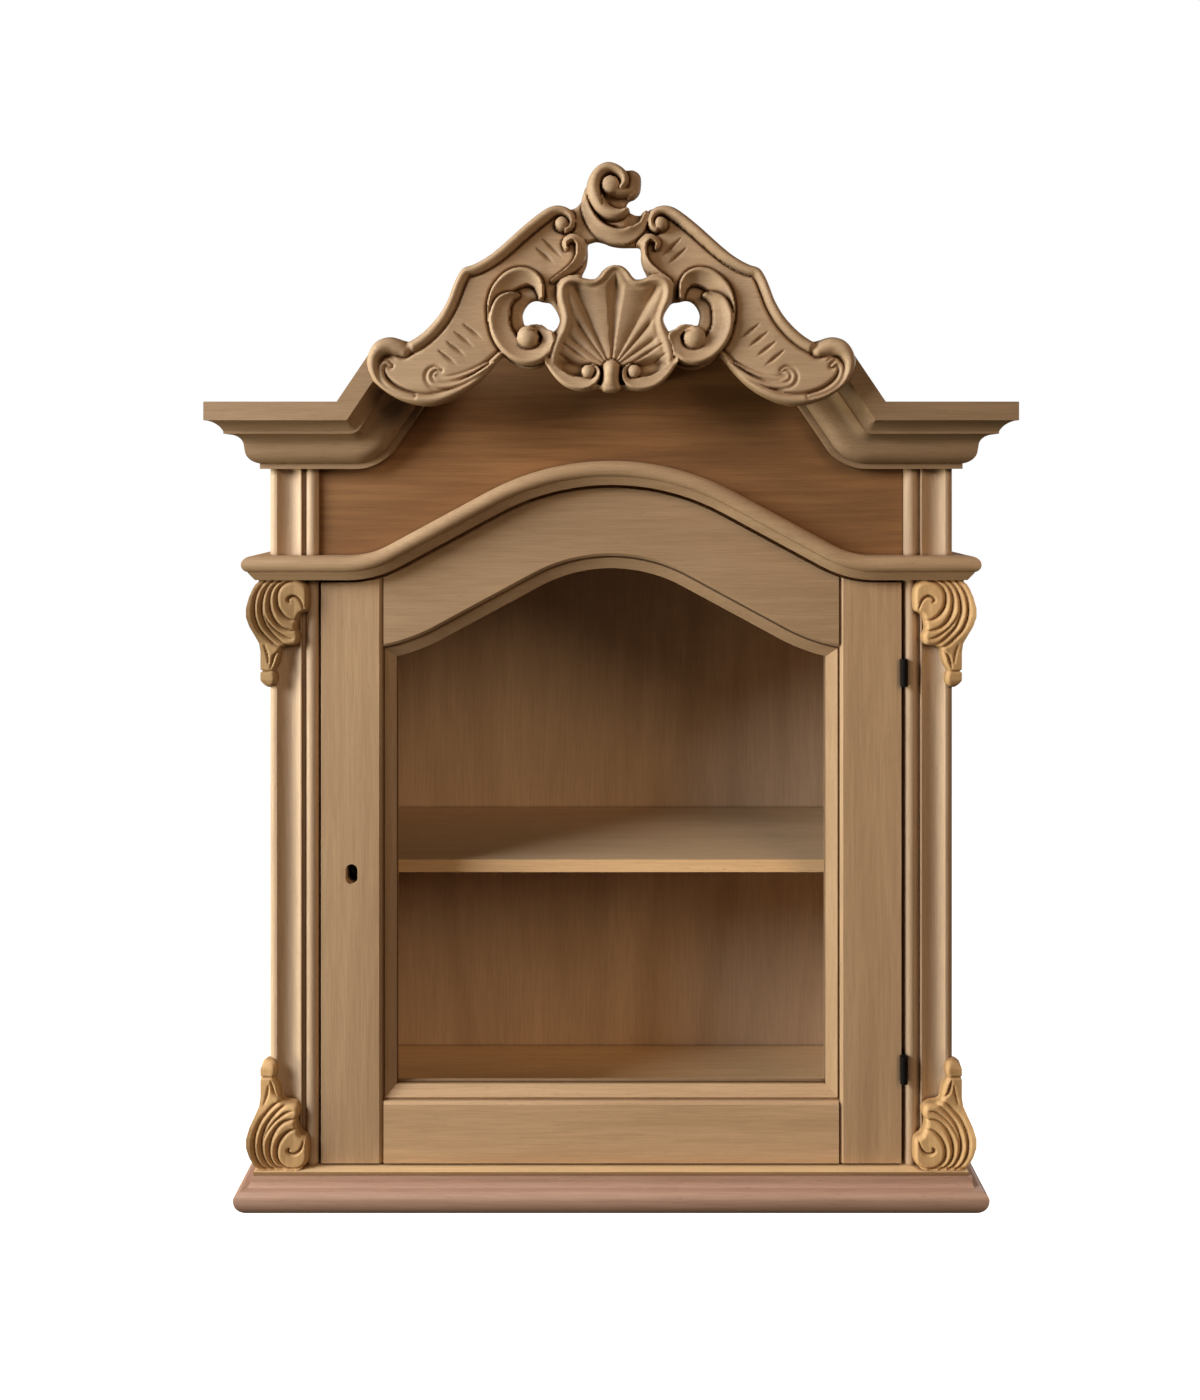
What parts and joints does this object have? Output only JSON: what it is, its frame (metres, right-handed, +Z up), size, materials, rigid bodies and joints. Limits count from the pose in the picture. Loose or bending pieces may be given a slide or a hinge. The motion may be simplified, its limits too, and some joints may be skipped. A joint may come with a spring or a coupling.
{
  "type": "wall cabinet",
  "caption": "Wall-hung display cabinet in pale carved wood: arched glazed door with a lock, inner shelf, fluted corner posts with scroll carvings, bent cornice and a pierced crest.",
  "frame": {"origin": "middle of the line between the wall-screw holes, on the wall plane", "axes": "+X to the right seen from the front, +Y into the wall, +Z up; the front faces -Y"},
  "size_m": [0.721, 0.319, 0.9435],
  "materials": {
    "pale_wood": "raw, sanded",
    "carving_wood": "raw, carved",
    "base_wood": "raw, sanded",
    "inner_wood": "raw, sanded",
    "frieze_wood": "raw, sanded",
    "glass": "clear",
    "black_metal": "satin",
    "steel": "satin"
  },
  "bodies": {
    "carcass": {"side_panel_left": "pale_wood", "side_panel_right": "pale_wood", "bottom_board": "pale_wood", "top_board": "pale_wood", "hanging_rail": "pale_wood", "corner_post_left": "pale_wood", "corner_post_right": "pale_wood", "arch_moulding_front": "pale_wood", "arch_moulding_left": "pale_wood", "arch_moulding_right": "pale_wood", "cornice_front_left": "pale_wood", "cornice_front_right": "pale_wood", "cornice_side_left": "pale_wood", "cornice_side_right": "pale_wood", "crest": "pale_wood", "crest_block": "pale_wood", "carcass_dowels": "pale_wood", "door_stop": "pale_wood", "base_moulding_front": "base_wood", "base_moulding_left": "base_wood", "base_moulding_right": "base_wood", "back_panel": "inner_wood", "shelf": "inner_wood", "frieze_panel": "frieze_wood", "carving_upper_left": "carving_wood", "carving_upper_right": "carving_wood", "carving_lower_left": "carving_wood", "carving_lower_right": "carving_wood", "hinge_frame_leaf_lower": "black_metal", "hinge_frame_leaf_upper": "black_metal", "hinge_pin_lower": "black_metal", "hinge_pin_upper": "black_metal", "hinge_frame_screws": "black_metal", "strike_plate": "steel", "strike_screws": "steel", "back_screws": "steel", "shelf_pegs": "steel"},
    "door": {"door_stile_lock": "pale_wood", "door_stile_hinge": "pale_wood", "door_rail_top": "pale_wood", "door_rail_bottom": "pale_wood", "glazing_bead_left": "pale_wood", "glazing_bead_right": "pale_wood", "glazing_bead_top": "pale_wood", "glazing_bead_bottom": "pale_wood", "hinge_door_leaf_lower": "black_metal", "hinge_door_leaf_upper": "black_metal", "hinge_door_screws": "black_metal", "glass_pane": "glass", "lock_case": "steel", "lock_pin": "steel", "lock_screws": "steel"},
    "bolt": {"lock_bolt": "steel"}
  },
  "joints": [
    {"name": "door_hinge", "type": "hinge", "parent": "carcass", "child": "door", "pos_m": [0.2685, -0.2498, 0], "axis": [0, 0, 1], "range_deg": [0, 110]},
    {"name": "bolt_slide", "type": "slide", "parent": "door", "child": "bolt", "axis": [-1, 0, 0], "range_m": [0, 0.01]}
  ]
}
